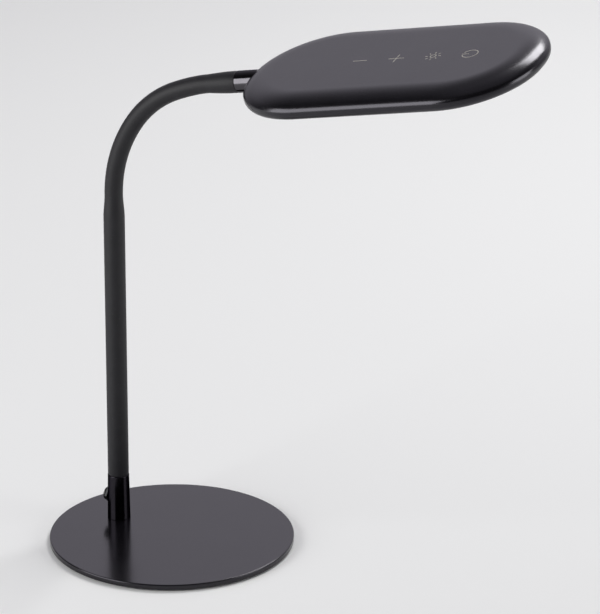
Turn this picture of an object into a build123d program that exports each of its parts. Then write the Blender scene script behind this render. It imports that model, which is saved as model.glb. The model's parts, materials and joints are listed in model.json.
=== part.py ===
# Gooseneck desk lamp with a flat touch-operated LED head.
#
# Frame: origin at the centre of the base on the surface the lamp stands on, +Z up.
# The neck bends in a vertical plane parallel to XZ, and the head points towards +X.
# All lengths are millimetres and all angles degrees.

import os
from math import acos, atan2, cos, degrees, radians, sin

from build123d import *

# Base: a steel disc on a thin non-slip pad
base_diameter = 180.0
plate_thickness = 4.0
plate_edge_round = 0.9
pad_thickness = 1.0
pad_margin = 4.0               # the pad stays this far inside the plate's edge
base_screw_diameter = 6.0
base_screw_head_diameter = 12.0
base_screw_key = 4.0           # across the flats of its hexagon socket
base_screw_key_depth = 2.4
base_screw_gap = 1.0           # from the pad's edge to the screw head

# Stem: a turned collar, a steel tube and the straight part of the silicone sleeve
stem_x = -49.7
stem_y = 9.2
collar_diameter = 17.0         # at its foot
collar_rim_diameter = 15.9
collar_height = 35.0
collar_floor = 7.0
collar_chamfer = 0.6
collar_chamber = 11.2          # diameter of the space for the inlet
tube_diameter = 12.0
tube_wall = 1.55
tube_seat = 14.0               # how deep the tube stands in the collar
tube_top = 244.0
sleeve_diameter = 15.5
sleeve_taper_drop = 2.0        # the sleeve begins to narrow this far below the tube's top
grub_diameter = 3.0
grub_drop = 6.0                # grub screw's axis below the collar's rim

# Power inlet: a panel jack screwed through the collar's wall
jack_height = 16.0             # its axis above the base plate
jack_thread = 8.0
jack_reach = 2.6               # how far it stands out of the collar
jack_flange_diameter = 10.0
jack_flange_thickness = 1.4
jack_inner_reach = 2.0         # how far its barrel passes the collar's axis
jack_nut_across_flats = 10.0
jack_nut_thickness = 2.0
jack_seat_cut = 1.2            # from the foot's radius in to the flat that the nut seats on
jack_bore = 5.6
jack_bore_depth = 9.5
jack_pin_diameter = 2.1
jack_pin_setback = 1.0         # the pin's tip lies this deep inside the mouth
jack_chamfer = 0.4
terminal_length = 3.0
terminal_width = 2.4
terminal_thickness = 0.6

# Neck: a metal gooseneck in a silicone sleeve, divided where it is taken to hinge
hinge_above_tube = 15.3        # from the tube's top to the lowest hinge
link_length = 21.4
link_turns = (11.9, 11.9, 11.9, 14.9, 14.9, 7.2)   # how far each link bends as the lamp stands
tail_length = 7.0              # last bent stretch, before the straight lip
tail_turn = 5.4
lip_length = 24.3
lip_taper = 17.5
lip_diameter = 15.6
neck_diameter = 13.4
core_diameter = 8.8
core_bore = 4.0
core_in_tube = 30.0            # how far the core reaches down into the stem tube
lead_diameter = 3.4
ball_margin = 0.1              # the ball end of a link is this much larger than its radius
link_clearance = 0.3

# Ferrule and swivel between the neck and the head
ferrule_diameter = 15.8
ferrule_to_nose = 11.9         # from the sleeve's lip to the head's nose
ferrule_entry = 5.7            # how far the ferrule runs on into the nose
ferrule_chamfer = 0.5
spigot_length = 10.0
shaft_diameter = 5.8
shaft_bore = 3.8
swivel_nut_diameter = 8.0
swivel_nut_length = 4.0
swivel_washer_thickness = 1.0
swivel_nut_slot = 1.6

# Head: two plastic shells around an edge-lit panel
head_length = 226.4
head_width = 123.4
head_end_flat = 4.2            # straight stretch in the middle of each short end
head_thickness = 15.0
head_roll = 9.7                # turned about the ferrule, the +Y side up
axis_height = 4.9              # ferrule axis above the head's underside
head_wall = 2.2
rim_belt = 6.3                 # height where the side begins to round over
rim_inset = 20.0               # width of the rounded rim in plan
cover_depth = 5.8              # height of the parting line between the two shells
cover_floor = 2.6
cover_edge_round = 5.5
cover_inner_round = 2.0
lip_wall = 1.2                 # locating lip of the cover inside the shell
lip_rise = 1.2
recess_depth = 6.0
nose_block_length = 8.0
nose_block_width = 22.0

# Light panel
window_margin = 13.0           # from the head's edge to the lit window
window_start = 36.0            # from the nose to the lit window
diffuser_ledge = 2.0
ledge_thickness = 1.1
diffuser_thickness = 2.0
guide_thickness = 3.0
guide_margin = 2.8             # room for the light strips beside the guide
reflector_thickness = 0.25
back_plate_thickness = 1.0
strip_length = 84.0
strip_thickness = 1.0
led_count = 14                 # on each strip
led_length = 3.0
led_depth = 1.1
led_height = 2.4
post_diameter = 5.0
post_spacing_x = 120.0
post_spacing_y = 70.0

# Control board and touch keys
key_pitch = 28.5
keys_start = 88.0              # from the nose to the key nearest it
board_length = 120.0
board_width = 26.0
board_thickness = 1.6
board_gap = 1.15               # from the back plate up to the board
board_screw_diameter = 2.2
board_screw_head_diameter = 4.0
board_screw_head_height = 0.8
board_boss_diameter = 5.2
board_edge = 6.0               # screw centres from the board's edges
driver_length = 9.8            # the two flat chips between the keys
driver_width = 7.0
regulator_length = 5.6
regulator_width = 11.2
board_lead_diameter = 2.0
board_lead_straight = 6.0      # from the swivel to where the lead starts to rise
board_lead_rise = 10.0
board_lead_bend = 10.0
touch_spring_diameter = 8.0
touch_spring_wire = 0.7
icon_depth = 0.3
icon_line = 0.8
icon_size = 12.0
minus_length = 10.8
sun_diameter = 4.9
sun_rays = 8
sun_ray_length = 2.0
power_gap = 3.4
power_bar_length = 5.5

# Head screws
head_screw_diameter = 2.4
head_screw_head_diameter = 4.4
head_screw_head_height = 1.3
head_screw_length = 8.0
head_screw_slot_length = 2.6
head_screw_slot_width = 0.6
head_boss_diameter = 5.0
head_screw_margin = 8.2        # screw centres from the head's edge

# Clearances
slip_fit = 0.05                # radial, between parts that slide or turn in one another
thread_fit = 0.05              # radial, between a screw and its tapped hole
loose_fit = 0.15               # around parts that drop into a pocket
swivel_clearance = 0.3         # between the ferrule and the head

# Places worked out from the sizes
plate_top = pad_thickness + plate_thickness
collar_top = plate_top + collar_height
tube_foot = collar_top - tube_seat
bend_start = tube_top + hinge_above_tube
ball_radius = neck_diameter / 2 + ball_margin
head_corner = (head_width - head_end_flat) / 2
cover_wall = head_wall + loose_fit + lip_wall
panel_centre = (window_start + head_length - window_margin) / 2
jack_turn = degrees(atan2(stem_y, stem_x))
keys = {name: keys_start + key_pitch * place
        for place, name in enumerate(("minus", "plus", "mode", "power"))}


def stem_plane(height):
    return Plane(origin=(stem_x, stem_y, height))


def radial_plane(turn, height):
    """Plane on the stem's axis whose normal points outwards, turned about the axis."""
    outward = (cos(radians(turn)), sin(radians(turn)), 0)
    return Plane(origin=(stem_x, stem_y, height), x_dir=(0, 0, 1), z_dir=outward)


def neck_plane(x, z, slope):
    """Plane across the neck: its normal runs along the neck, its Y points to the outer side."""
    return Plane(origin=(x, stem_y, z), x_dir=(0, 1, 0), z_dir=(cos(radians(slope)), 0, sin(radians(slope))))


def after_bend(place, slope, length, turn):
    """Plane and slope at the end of a bend that starts at this plane."""
    radius = length / radians(turn)
    x = place.origin.X + radius * (sin(radians(slope)) - sin(radians(slope - turn)))
    z = place.origin.Z + radius * (cos(radians(slope - turn)) - cos(radians(slope)))
    return neck_plane(x, z, slope - turn), slope - turn


hinges = [neck_plane(stem_x, bend_start, 90)]
neck_slope = 90
for link_turn in link_turns:
    next_hinge, neck_slope = after_bend(hinges[-1], neck_slope, link_length, link_turn)
    hinges.append(next_hinge)
lip_plane, neck_slope = after_bend(hinges[-1], neck_slope, tail_length, tail_turn)
neck_end = lip_plane.offset(lip_length)

nose = neck_end.offset(ferrule_to_nose).origin
head_up = (neck_end.y_dir * cos(radians(head_roll)) - neck_end.x_dir * sin(radians(head_roll)))
head_plane = Plane(origin=nose, x_dir=neck_end.z_dir, z_dir=head_up)


def head_level(height):
    """Plane at this height above the head's underside, X along the head from its nose."""
    return head_plane.offset(height - axis_height)


def along_axis(distance):
    """Plane across the ferrule's axis at this distance past the head's nose."""
    return neck_end.offset(ferrule_to_nose + distance)


def ring(outer, bore):
    Circle(outer / 2)
    if bore:
        Circle(bore / 2, mode=Mode.SUBTRACT)


def ball_profile(side, outer, bore):
    """Half section of a tube's or rod's end, cut to the ball, standing on the hinge plane."""
    outer_turn, bore_turn = acos(outer / 2 / ball_radius), acos(bore / 2 / ball_radius)
    middle_turn = (outer_turn + bore_turn) / 2
    rim, middle, crown = (
        (ball_radius * cos(turn), ball_radius * sin(turn)) for turn in (outer_turn, middle_turn, bore_turn))
    with BuildSketch(side) as profile:
        with BuildLine():
            Polyline(rim, (outer / 2, 0), (bore / 2, 0), crown)
            ThreePointArc(rim, middle, crown)
        make_face()
    return profile.sketch


def ball_end(place, outer, bore):
    """Add the ball-shaped end that the next link turns around."""
    side = Plane(origin=place.origin, x_dir=place.x_dir, z_dir=-place.y_dir)
    revolve(ball_profile(side, outer, bore), axis=Axis(place.origin, place.z_dir))


def ball_socket(place):
    """Cut the hollow in the foot of a link that the ball end of the last one turns in."""
    with Locations(Plane(origin=place.origin, x_dir=-place.z_dir, z_dir=place.x_dir)):
        Sphere(ball_radius + link_clearance, mode=Mode.SUBTRACT)


def bent_tube(place, length, turn, outer, bore):
    """Add one bend of the neck: a tube or rod that follows an arc from this plane."""
    centre = place.origin - place.y_dir * (length / radians(turn))
    with BuildSketch(place) as section:
        ring(outer, bore)
    revolve(section.sketch, axis=Axis(centre, (0, 1, 0)), revolution_arc=turn)


def neck_link(number, outer, bore):
    with BuildPart() as link:
        bent_tube(hinges[number - 1], link_length, link_turns[number - 1], outer, bore)
        ball_end(hinges[number], outer, bore)
        ball_socket(hinges[number - 1])
    return link.part


def head_outline(inset):
    with Locations((head_length / 2, 0)):
        RectangleRounded(head_length - 2 * inset, head_width - 2 * inset, head_corner - inset)


def panel_outline(inset):
    """Outline of the light panel, measured inwards from the edge of the lit window."""
    length = head_length - window_start - window_margin - 2 * inset
    width = head_width - 2 * window_margin - 2 * inset
    with Locations((panel_centre, 0)):
        RectangleRounded(length, width, head_corner - window_margin - inset)


pieces = {}

# Base
with BuildPart() as base_plate:
    with BuildSketch(Plane.XY.offset(pad_thickness)):
        Circle(base_diameter / 2)
    extrude(amount=plate_thickness)
    fillet(base_plate.edges().sort_by(Axis.Z)[-1], plate_edge_round)
    with Locations(Plane(origin=(stem_x, stem_y, pad_thickness), z_dir=(0, 0, -1))):
        CounterSinkHole(base_screw_diameter / 2 + slip_fit * 2, base_screw_head_diameter / 2 + slip_fit * 2,
                        counter_sink_angle=90)
pieces["base_plate"] = base_plate

with BuildPart() as base_pad:
    with BuildSketch():
        Circle(base_diameter / 2 - pad_margin)
        with Locations((stem_x, stem_y)):
            Circle(base_screw_head_diameter / 2 + base_screw_gap, mode=Mode.SUBTRACT)
    extrude(amount=pad_thickness)
pieces["base_pad"] = base_pad

base_screw_cone = (base_screw_head_diameter - base_screw_diameter) / 2
with BuildPart() as base_screw:
    with BuildSketch(stem_plane(pad_thickness)):
        Circle(base_screw_head_diameter / 2)
    with BuildSketch(stem_plane(pad_thickness + base_screw_cone)):
        Circle(base_screw_diameter / 2)
    loft()
    with BuildSketch(stem_plane(pad_thickness + base_screw_cone)):
        Circle(base_screw_diameter / 2)
    extrude(amount=plate_thickness - base_screw_cone + collar_floor - slip_fit)
    with BuildSketch(stem_plane(pad_thickness)):
        RegularPolygon(base_screw_key / 2, 6, major_radius=False)
    extrude(amount=base_screw_key_depth, mode=Mode.SUBTRACT)
pieces["base_screw"] = base_screw

# Collar and inlet
jack_plane = radial_plane(jack_turn, plate_top + jack_height)
jack_axis = Axis(jack_plane.origin, jack_plane.z_dir)
grub_plane = radial_plane(jack_turn - 90, collar_top - grub_drop)
jack_seat = collar_diameter / 2 - jack_seat_cut
jack_face = collar_diameter / 2 + jack_reach
nut_circle = jack_nut_across_flats / cos(radians(30))
stem_side = Plane(origin=(stem_x, stem_y, 0), x_dir=(1, 0, 0), z_dir=(0, -1, 0))

with BuildPart() as stem_collar:
    with BuildSketch(stem_side):
        Polygon((0, plate_top), (collar_diameter / 2, plate_top), (collar_rim_diameter / 2, collar_top),
                (0, collar_top), align=None)
    revolve(axis=Axis((stem_x, stem_y, 0), (0, 0, 1)))
    chamfer(stem_collar.edges().group_by(Axis.Z)[-1].sort_by(SortBy.LENGTH)[-1], collar_chamfer)
    with BuildSketch(stem_plane(plate_top)):
        Circle(base_screw_diameter / 2 + thread_fit)
    extrude(amount=collar_height, mode=Mode.SUBTRACT)
    with BuildSketch(stem_plane(plate_top + collar_floor)):
        Circle(collar_chamber / 2)
    extrude(amount=collar_height, mode=Mode.SUBTRACT)
    with BuildSketch(stem_plane(tube_foot)):
        Circle(tube_diameter / 2 + slip_fit)
    extrude(amount=collar_height, mode=Mode.SUBTRACT)
    with BuildSketch(jack_plane):
        Circle(jack_thread / 2 + thread_fit)
    extrude(amount=collar_diameter, mode=Mode.SUBTRACT)
    with BuildSketch(jack_plane.offset(jack_seat)):
        Circle(nut_circle / 2 + loose_fit)
    extrude(amount=collar_diameter, mode=Mode.SUBTRACT)
    with BuildSketch(grub_plane):
        Circle(grub_diameter / 2 + thread_fit)
    extrude(amount=collar_diameter, mode=Mode.SUBTRACT)
pieces["stem_collar"] = stem_collar

with BuildPart() as collar_grub_screw:
    with BuildSketch(grub_plane.offset(tube_diameter / 2 + slip_fit)):
        Circle(grub_diameter / 2)
        RegularPolygon(grub_diameter / 4, 6, major_radius=False, mode=Mode.SUBTRACT)
    extrude(amount=(collar_rim_diameter - tube_diameter) / 2 - 4 * slip_fit)
    with BuildSketch(grub_plane.offset(tube_diameter / 2 + slip_fit)):
        Circle(grub_diameter / 2)
    extrude(amount=(collar_rim_diameter - tube_diameter) / 4)
pieces["collar_grub_screw"] = collar_grub_screw

with BuildPart() as dc_jack_barrel:
    with BuildSketch(jack_plane.offset(-jack_inner_reach)):
        Circle(jack_thread / 2)
    extrude(amount=jack_inner_reach + jack_face)
    with BuildSketch(jack_plane.offset(jack_face)):
        Circle(jack_flange_diameter / 2)
    extrude(amount=-jack_flange_thickness)
    chamfer(dc_jack_barrel.faces().sort_by(jack_axis)[-1].edges(), jack_chamfer)
    with BuildSketch(jack_plane.offset(jack_face)):
        Circle(jack_bore / 2)
    extrude(amount=-jack_bore_depth, mode=Mode.SUBTRACT)
pieces["dc_jack_barrel"] = dc_jack_barrel

with BuildPart() as dc_jack_pin:
    with BuildSketch(jack_plane.offset(jack_face - jack_bore_depth)):
        Circle(jack_pin_diameter / 2)
    extrude(amount=jack_bore_depth - jack_pin_setback)
    fillet(dc_jack_pin.faces().sort_by(jack_axis)[-1].edges(), jack_pin_diameter / 4)
pieces["dc_jack_pin"] = dc_jack_pin

with BuildPart() as dc_jack_nut:
    with BuildSketch(jack_plane.offset(jack_seat)):
        RegularPolygon(jack_nut_across_flats / 2, 6, major_radius=False, rotation=30)
        Circle(jack_thread / 2 + thread_fit, mode=Mode.SUBTRACT)
    extrude(amount=jack_nut_thickness)
pieces["dc_jack_nut"] = dc_jack_nut

with BuildPart() as dc_jack_terminals:
    with BuildSketch(jack_plane.offset(-jack_inner_reach)):
        with Locations((jack_thread / 4, 0), (-jack_thread / 4, 0)):
            Rectangle(terminal_thickness, terminal_width)
    extrude(amount=-terminal_length)
pieces["dc_jack_terminals"] = dc_jack_terminals

# Stem
tube_bore = tube_diameter - 2 * tube_wall
with BuildPart() as stem_tube:
    with BuildSketch(stem_plane(tube_foot)):
        ring(tube_diameter, tube_bore)
    extrude(amount=tube_top - tube_foot)
pieces["stem_tube"] = stem_tube

sleeve_bore = core_diameter + 2 * slip_fit
with BuildPart() as stem_sleeve:
    with BuildSketch(stem_side):
        Polygon((tube_diameter / 2 + slip_fit, collar_top), (sleeve_diameter / 2, collar_top),
                (sleeve_diameter / 2, tube_top - sleeve_taper_drop),
                (neck_diameter / 2, bend_start - ball_margin), (neck_diameter / 2, bend_start),
                (sleeve_bore / 2, bend_start),
                (sleeve_bore / 2, tube_top + slip_fit), (tube_diameter / 2 + slip_fit, tube_top + slip_fit),
                align=None)
    revolve(axis=Axis((stem_x, stem_y, 0), (0, 0, 1)))
    ball_end(hinges[0], neck_diameter, sleeve_bore)
pieces["stem_sleeve"] = stem_sleeve

core_foot = tube_top - core_in_tube
with BuildPart() as stem_core:
    with BuildSketch(stem_plane(core_foot)):
        ring(core_diameter, core_bore)
    extrude(amount=bend_start - core_foot)
    ball_end(hinges[0], core_diameter, core_bore)
pieces["stem_core"] = stem_core

lead_foot = plate_top + jack_height + jack_thread / 2 + swivel_clearance
with BuildPart() as stem_lead:
    with BuildSketch(stem_plane(lead_foot)):
        Circle(lead_diameter / 2)
    extrude(amount=bend_start - lead_foot)
    ball_end(hinges[0], lead_diameter, 0)
pieces["stem_lead"] = stem_lead

# Neck links
for number in range(1, len(link_turns) + 1):
    pieces[f"neck_sleeve_{number}"] = neck_link(number, neck_diameter, sleeve_bore)
    pieces[f"neck_core_{number}"] = neck_link(number, core_diameter, core_bore)
    pieces[f"neck_lead_{number}"] = neck_link(number, lead_diameter, 0)

# Last link, up to the ferrule
tail = len(link_turns) + 1
core_into_lip = lip_length - spigot_length
lip_side = Plane(origin=lip_plane.origin, x_dir=lip_plane.x_dir, z_dir=-lip_plane.y_dir)
with BuildPart() as neck_sleeve_tail:
    bent_tube(hinges[-1], tail_length, tail_turn, neck_diameter, sleeve_bore)
    with BuildSketch(lip_side):
        Polygon((sleeve_bore / 2, 0), (neck_diameter / 2, 0), (lip_diameter / 2, lip_taper),
                (lip_diameter / 2, lip_length), (sleeve_bore / 2, lip_length), align=None)
    revolve(axis=Axis(lip_plane.origin, lip_plane.z_dir))
    ball_socket(hinges[-1])
pieces[f"neck_sleeve_{tail}"] = neck_sleeve_tail

with BuildPart() as neck_core_tail:
    bent_tube(hinges[-1], tail_length, tail_turn, core_diameter, core_bore)
    with BuildSketch(lip_plane):
        ring(core_diameter, core_bore)
    extrude(amount=core_into_lip)
    ball_socket(hinges[-1])
pieces[f"neck_core_{tail}"] = neck_core_tail

washer_start = recess_depth + nose_block_length + slip_fit
nut_start = washer_start + swivel_washer_thickness
shaft_end = nut_start + swivel_nut_length
with BuildPart() as neck_lead_tail:
    bent_tube(hinges[-1], tail_length, tail_turn, lead_diameter, 0)
    with BuildSketch(lip_plane):
        Circle(lead_diameter / 2)
    extrude(amount=lip_length + ferrule_to_nose + shaft_end)
    ball_socket(hinges[-1])
pieces[f"neck_lead_{tail}"] = neck_lead_tail

with BuildPart() as head_ferrule:
    with BuildSketch(neck_end.offset(-spigot_length)):
        ring(core_diameter, shaft_bore)
    extrude(amount=spigot_length)
    with BuildSketch(neck_end):
        ring(ferrule_diameter, shaft_bore)
    extrude(amount=ferrule_to_nose + ferrule_entry)
    circles = head_ferrule.edges().filter_by(GeomType.CIRCLE)
    rims = circles.filter_by(lambda edge: abs(edge.radius - ferrule_diameter / 2) < slip_fit)
    chamfer(rims, ferrule_chamfer)
    with BuildSketch(along_axis(ferrule_entry)):
        ring(shaft_diameter, shaft_bore)
    extrude(amount=shaft_end - ferrule_entry)
pieces["head_ferrule"] = head_ferrule

with BuildPart() as swivel_washer:
    with BuildSketch(along_axis(washer_start)):
        ring(swivel_nut_diameter, shaft_diameter + 2 * slip_fit)
    extrude(amount=swivel_washer_thickness)
pieces["swivel_washer"] = swivel_washer

with BuildPart() as swivel_nut:
    with BuildSketch(along_axis(nut_start)):
        ring(swivel_nut_diameter, shaft_diameter + 2 * thread_fit)
    extrude(amount=swivel_nut_length)
    with BuildSketch(along_axis(shaft_end)):
        Rectangle(swivel_nut_diameter, swivel_nut_slot)
    extrude(amount=-swivel_nut_length / 3, mode=Mode.SUBTRACT)
pieces["swivel_nut"] = swivel_nut

# Key symbols, flush in the top face
icon_floor = head_level(head_thickness - icon_depth)


def icon_plane(name):
    return icon_floor.shift_origin(icon_floor.from_local_coords((keys[name], 0, 0)))


with BuildPart() as icon_minus:
    with BuildSketch(icon_plane("minus")):
        Rectangle(minus_length, icon_line)
    extrude(amount=icon_depth)
pieces["icon_minus"] = icon_minus

with BuildPart() as icon_plus:
    with BuildSketch(icon_plane("plus")):
        Rectangle(icon_size, icon_line)
        Rectangle(icon_line, icon_size)
    extrude(amount=icon_depth)
pieces["icon_plus"] = icon_plus

# a small sun: a ring with eight rays
with BuildPart() as icon_mode:
    with BuildSketch(icon_plane("mode")):
        ring(sun_diameter, sun_diameter - 2 * icon_line)
        with PolarLocations((icon_size - sun_ray_length) / 2, sun_rays):
            Rectangle(sun_ray_length, icon_line)
    extrude(amount=icon_depth)
pieces["icon_mode"] = icon_mode

# an open ring with a bar through the gap, which faces the nose
with BuildPart() as icon_power:
    with BuildSketch(icon_plane("power")):
        ring(icon_size, icon_size - 2 * icon_line)
        with Locations((-icon_size / 2, 0)):
            Rectangle(icon_size / 2, power_gap, mode=Mode.SUBTRACT)
        with Locations(((power_bar_length - icon_size - icon_line) / 2, 0)):
            Rectangle(power_bar_length, icon_line)
    extrude(amount=icon_depth)
pieces["icon_power"] = icon_power

# Head cover with the lit window, and what lies on it
head_screw_ring = head_corner - head_screw_margin
corner_reach = head_screw_ring * cos(radians(45))
screw_places = [(head_length / 2, side * (head_width / 2 - head_screw_margin)) for side in (1, -1)]
for end in (head_corner - corner_reach, head_length - head_corner + corner_reach):
    for side in (1, -1):
        screw_places.append((end, side * (head_width / 2 - head_corner + corner_reach)))

nose_axis = Axis(head_plane.origin, head_plane.z_dir)
with BuildPart() as cover_hollow:
    with BuildSketch(head_level(cover_floor)):
        head_outline(cover_wall)
    extrude(amount=cover_depth + lip_rise - cover_floor)
    fillet(cover_hollow.faces().sort_by(nose_axis)[0].edges(), cover_inner_round)

with BuildPart() as head_bottom_cover:
    with BuildSketch(head_level(0)):
        head_outline(0)
    extrude(amount=cover_depth)
    fillet(head_bottom_cover.faces().sort_by(nose_axis)[0].edges(), cover_edge_round)
    with BuildSketch(head_level(cover_depth)):
        head_outline(head_wall + loose_fit)
        Rectangle(2 * washer_start, nose_block_width + 4 * loose_fit, mode=Mode.SUBTRACT)
    extrude(amount=lip_rise)
    add(cover_hollow.part, mode=Mode.SUBTRACT)
    with BuildSketch(head_level(0)):
        panel_outline(0)
    extrude(amount=cover_floor, mode=Mode.SUBTRACT)
    with BuildSketch(head_level(ledge_thickness)):
        panel_outline(-diffuser_ledge)
    extrude(amount=cover_floor, mode=Mode.SUBTRACT)
    with BuildSketch(along_axis(-recess_depth)):
        Circle(ferrule_diameter / 2 + swivel_clearance)
    extrude(amount=2 * recess_depth, mode=Mode.SUBTRACT)
    with BuildSketch(along_axis(0)):
        Circle(shaft_diameter / 2 + swivel_clearance)
    extrude(amount=washer_start, mode=Mode.SUBTRACT)
    with BuildSketch(along_axis(washer_start - 2 * swivel_clearance)):
        Circle(swivel_nut_diameter / 2 + swivel_clearance)
    extrude(amount=shaft_end - washer_start + 4 * swivel_clearance, mode=Mode.SUBTRACT)
    with BuildSketch(head_level(0)):
        with Locations(*screw_places):
            Circle(head_screw_diameter / 2 + 2 * slip_fit)
    extrude(amount=cover_floor, mode=Mode.SUBTRACT)
    with BuildSketch(head_level(0)):
        with Locations(*screw_places):
            Circle(head_screw_head_diameter / 2 + loose_fit)
    extrude(amount=head_screw_head_height, mode=Mode.SUBTRACT)
pieces["head_bottom_cover"] = head_bottom_cover

with BuildPart() as diffuser:
    with BuildSketch(head_level(ledge_thickness)):
        panel_outline(loose_fit - diffuser_ledge)
    extrude(amount=diffuser_thickness)
pieces["diffuser"] = diffuser

guide_floor = ledge_thickness + diffuser_thickness
with BuildPart() as light_guide:
    with BuildSketch(head_level(guide_floor)):
        panel_outline(guide_margin - diffuser_ledge)
    extrude(amount=guide_thickness)
pieces["light_guide"] = light_guide

reflector_floor = guide_floor + guide_thickness
with BuildPart() as reflector:
    with BuildSketch(head_level(reflector_floor)):
        panel_outline(guide_margin - diffuser_ledge)
    extrude(amount=reflector_thickness)
pieces["reflector"] = reflector

back_plate_floor = reflector_floor + reflector_thickness
back_plate_top = back_plate_floor + back_plate_thickness
with BuildPart() as back_plate:
    with BuildSketch(head_level(back_plate_floor)):
        panel_outline(loose_fit - diffuser_ledge)
    extrude(amount=back_plate_thickness)
pieces["back_plate"] = back_plate

strip_side = head_width / 2 - window_margin + diffuser_ledge - loose_fit - strip_thickness / 2
led_side = strip_side - (strip_thickness + led_depth) / 2
with BuildPart() as led_strips:
    with BuildSketch(head_level(guide_floor)):
        with Locations((panel_centre, strip_side), (panel_centre, -strip_side)):
            Rectangle(strip_length, strip_thickness)
    extrude(amount=guide_thickness + reflector_thickness)
pieces["led_strips"] = led_strips

led_pitch = strip_length / led_count
led_row = [panel_centre + led_pitch * (place - (led_count - 1) / 2) for place in range(led_count)]
with BuildPart() as leds:
    with BuildSketch(head_level(guide_floor + (guide_thickness - led_height) / 2)):
        with Locations(*[(x, side * led_side) for x in led_row for side in (1, -1)]):
            Rectangle(led_length, led_depth)
    extrude(amount=led_height)
pieces["leds"] = leds

# Control board, hung from the shell above the back plate
roof = head_thickness - head_wall
board_floor = back_plate_top + board_gap
board_top = board_floor + board_thickness
board_centre = keys_start + 1.5 * key_pitch
board_screw_places = [(board_centre + x * (board_length / 2 - board_edge), y * (board_width / 2 - board_edge))
                      for x in (1, -1) for y in (1, -1)]
with BuildPart() as control_board:
    with BuildSketch(head_level(board_floor)):
        with Locations((board_centre, 0)):
            Rectangle(board_length, board_width)
        with Locations(*board_screw_places):
            Circle(board_screw_diameter / 2 + loose_fit, mode=Mode.SUBTRACT)
    extrude(amount=board_thickness)
pieces["control_board"] = control_board

with BuildPart() as board_parts:
    with BuildSketch(head_level(board_top)):
        with Locations((keys["plus"] - key_pitch / 2, 0), (keys["mode"] - key_pitch / 2, 0)):
            Rectangle(driver_length, driver_width)
        with Locations((keys["power"] - key_pitch / 2, 0)):
            Rectangle(regulator_length, regulator_width)
    extrude(amount=(roof - board_top) / 2)
pieces["board_parts"] = board_parts

with BuildPart() as board_screws:
    with BuildSketch(head_level(board_floor - board_screw_head_height)):
        with Locations(*board_screw_places):
            Circle(board_screw_head_diameter / 2)
    extrude(amount=board_screw_head_height)
    with BuildSketch(head_level(board_floor)):
        with Locations(*board_screw_places):
            Circle(board_screw_diameter / 2)
    extrude(amount=roof - board_floor - 2 * loose_fit)
pieces["board_screws"] = board_screws

with BuildPart() as touch_springs:
    with BuildSketch(head_level(board_top)):
        with Locations(*[(x, 0) for x in keys.values()]):
            Circle(touch_spring_diameter / 2)
        with Locations(*[(x, 0) for x in keys.values()]):
            Circle(touch_spring_diameter / 2 - touch_spring_wire, mode=Mode.SUBTRACT)
    extrude(amount=roof - board_top)
pieces["touch_springs"] = touch_springs

# Lead from the swivel to the board, over the back plate
lead_start = shaft_end + swivel_clearance
lead_run = head_level(0)
lead_side = Plane(origin=lead_run.origin, x_dir=lead_run.x_dir, z_dir=-lead_run.y_dir)
lead_height = (back_plate_top + board_top + swivel_clearance) / 2 + board_lead_diameter / 4
lead_rise_start = lead_start + board_lead_straight
lead_rise_end = lead_rise_start + board_lead_rise
with BuildPart() as head_lead:
    with BuildLine(lead_side) as lead_path:
        FilletPolyline((lead_start, axis_height), (lead_rise_start, axis_height),
                       (lead_rise_end, lead_height),
                       (board_centre - board_length / 2 - slip_fit, lead_height), radius=board_lead_bend)
    with BuildSketch(along_axis(lead_start)):
        Circle(board_lead_diameter / 2)
    sweep(path=lead_path.wires()[0])
pieces["head_lead"] = head_lead

with BuildPart() as head_screws:
    with BuildSketch(head_level(0)):
        with Locations(*screw_places):
            Circle(head_screw_head_diameter / 2)
    extrude(amount=head_screw_head_height)
    with BuildSketch(head_level(head_screw_head_height)):
        with Locations(*screw_places):
            Circle(head_screw_diameter / 2)
    extrude(amount=head_screw_length - head_screw_head_height)
    with BuildSketch(head_level(0)):
        with Locations(*screw_places):
            Rectangle(head_screw_slot_length, head_screw_slot_width)
            Rectangle(head_screw_slot_width, head_screw_slot_length)
    extrude(amount=head_screw_head_height / 2, mode=Mode.SUBTRACT)
pieces["head_screws"] = head_screws

# Top shell: the rounded form, hollowed around its bosses
def rounded_form(inset):
    """Body between the parting line and the top face, this far inside the outer surface."""
    belt, rise, reach = rim_belt - cover_depth, head_thickness - inset - rim_belt, rim_inset - inset
    with BuildPart() as form:
        with BuildSketch(head_level(cover_depth)):
            head_outline(rim_inset)
        extrude(amount=belt + rise)
        path = form.faces().sort_by(nose_axis)[0].outer_wire()
        outward = (path % 0).cross(head_plane.z_dir)
        if outward.dot(path @ 0 - head_level(cover_depth).from_local_coords((head_length / 2, 0, 0))) < 0:
            outward = -outward
        with BuildSketch(Plane(origin=path @ 0, x_dir=outward, z_dir=outward.cross(head_plane.z_dir))):
            with BuildLine():
                Polyline((0, belt + rise), (0, 0), (reach, 0), (reach, belt))
                EllipticalCenterArc((0, belt), reach, rise, start_angle=0, arc_size=90)
            make_face()
        sweep(path=path)
    return form.part


with BuildPart() as head_cavity:
    add(rounded_form(head_wall))
    with BuildSketch(head_level(cover_depth)):
        Rectangle(2 * (recess_depth + nose_block_length), nose_block_width)
        with Locations(*screw_places):
            Circle(head_boss_diameter / 2)
    extrude(amount=head_thickness, mode=Mode.SUBTRACT)
    with BuildSketch(head_level(back_plate_top)):
        with Locations((panel_centre, 0)):
            with GridLocations(post_spacing_x, post_spacing_y, 2, 2):
                Circle(post_diameter / 2)
    extrude(amount=head_thickness, mode=Mode.SUBTRACT)
    with BuildSketch(head_level(board_top)):
        with Locations(*board_screw_places):
            Circle(board_boss_diameter / 2)
    extrude(amount=head_thickness, mode=Mode.SUBTRACT)

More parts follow.
